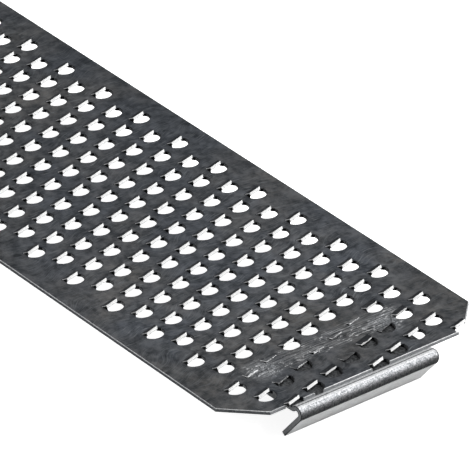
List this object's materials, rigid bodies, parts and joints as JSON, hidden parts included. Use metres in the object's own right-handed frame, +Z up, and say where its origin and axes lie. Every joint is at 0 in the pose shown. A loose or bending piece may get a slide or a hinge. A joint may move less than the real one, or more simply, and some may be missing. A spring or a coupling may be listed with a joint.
{
  "type": "perforated rasp blade",
  "caption": "Flat perforated steel rasp blade with raised cutting teeth and a sheet-metal hook welded under each end, for a planer-type rasp.",
  "frame": {"origin": "middle of the blade, on the plane that the two hooks' tips stand on", "axes": "+X along the blade, the way its teeth cut; +Y across it; +Z up, on the toothed side"},
  "size_m": [0.2542, 0.042, 0.0063],
  "materials": {
    "blade_steel": "hardened strip steel, tempered dark grey, ground bright on the tooth faces",
    "hook_steel": "bright drawn steel with fine grain along the bend",
    "weld_steel": "resistance spot weld"
  },
  "bodies": {
    "root": {"rasp_strip": "blade_steel", "front_hook": "hook_steel", "rear_hook": "hook_steel", "front_weld": "weld_steel", "rear_weld": "weld_steel"}
  },
  "joints": []
}
